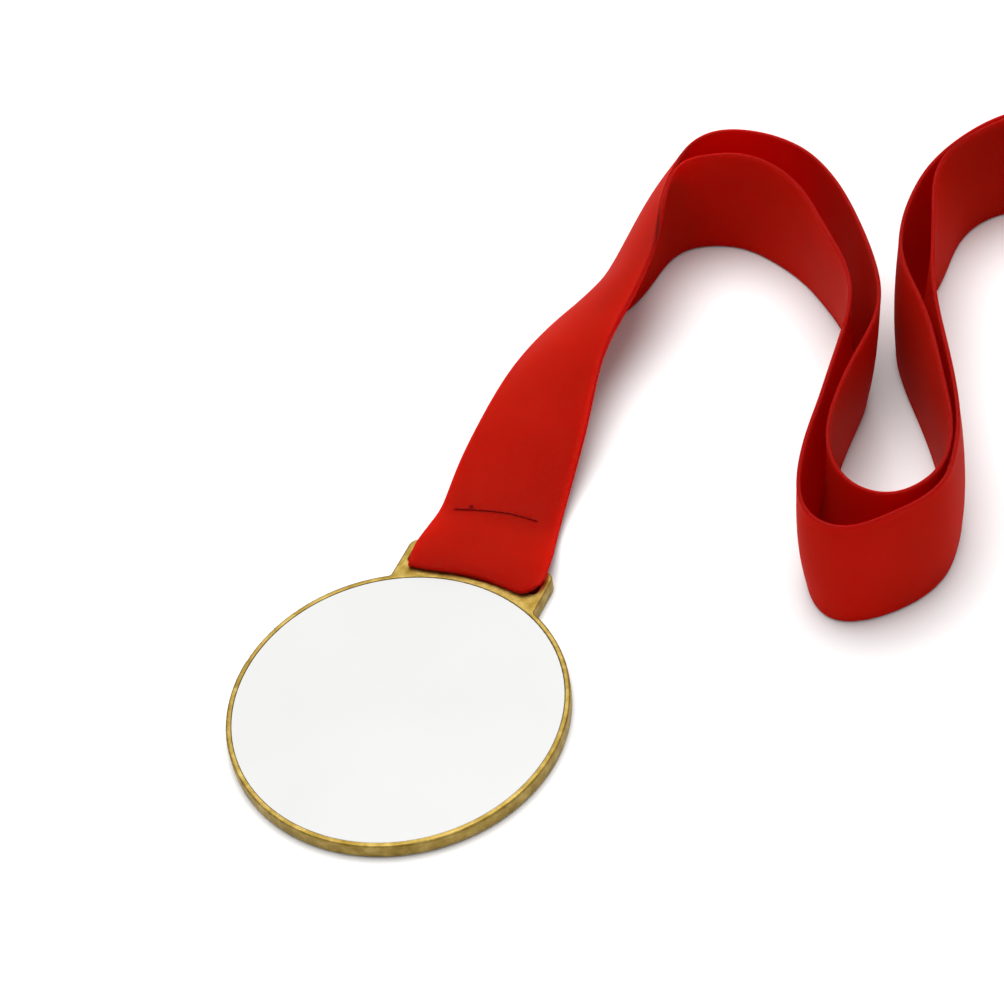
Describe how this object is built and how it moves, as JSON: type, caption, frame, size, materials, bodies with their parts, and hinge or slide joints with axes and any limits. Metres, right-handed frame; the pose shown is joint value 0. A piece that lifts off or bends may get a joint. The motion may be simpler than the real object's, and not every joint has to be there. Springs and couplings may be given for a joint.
{
  "type": "award medal with neck ribbon",
  "caption": "Round gold-plated award medal with a blank white insert, lying on its back, on a flat woven red neck ribbon that stands on edge in soft bends.",
  "frame": {"origin": "centre of the medal's disc on its flat back face, which is also the surface that the medal and the ribbon lie on", "axes": "+Z out of the medal's front face, +Y from the disc's centre through its lug, +X to the lug's right seen from the front"},
  "size_m": [0.1424, 0.1947, 0.0254],
  "materials": {
    "gold_plate": "satin gold plate on a die casting",
    "white_coating": "white print coating, soft gloss",
    "adhesive": "double-sided adhesive film",
    "thread": "polyester sewing thread",
    "ribbon_weave": "fine ribbed polyester satin weave"
  },
  "bodies": {
    "medal": {"medal_casting": "gold_plate", "coated_insert": "white_coating", "adhesive_pad": "adhesive"},
    "ribbon": {"ribbon_sewn_loop": "ribbon_weave", "ribbon_outer_twist": "ribbon_weave", "ribbon_outer_first_arch": "ribbon_weave", "ribbon_outer_turn": "ribbon_weave", "ribbon_outer_second_arch": "ribbon_weave", "ribbon_outer_neck_run": "ribbon_weave", "ribbon_inner_twist": "ribbon_weave", "ribbon_inner_first_arch": "ribbon_weave", "ribbon_inner_turn": "ribbon_weave", "ribbon_inner_second_arch": "ribbon_weave", "ribbon_inner_neck_run": "ribbon_weave", "ribbon_neck_fold": "ribbon_weave", "seam_thread": "thread"}
  },
  "joints": [
    {"name": "ribbon_swing", "type": "hinge", "parent": "medal", "child": "ribbon", "pos_m": [0, 0.036, 0.002], "axis": [1, 0, 0], "range_deg": [-120, 120]}
  ]
}
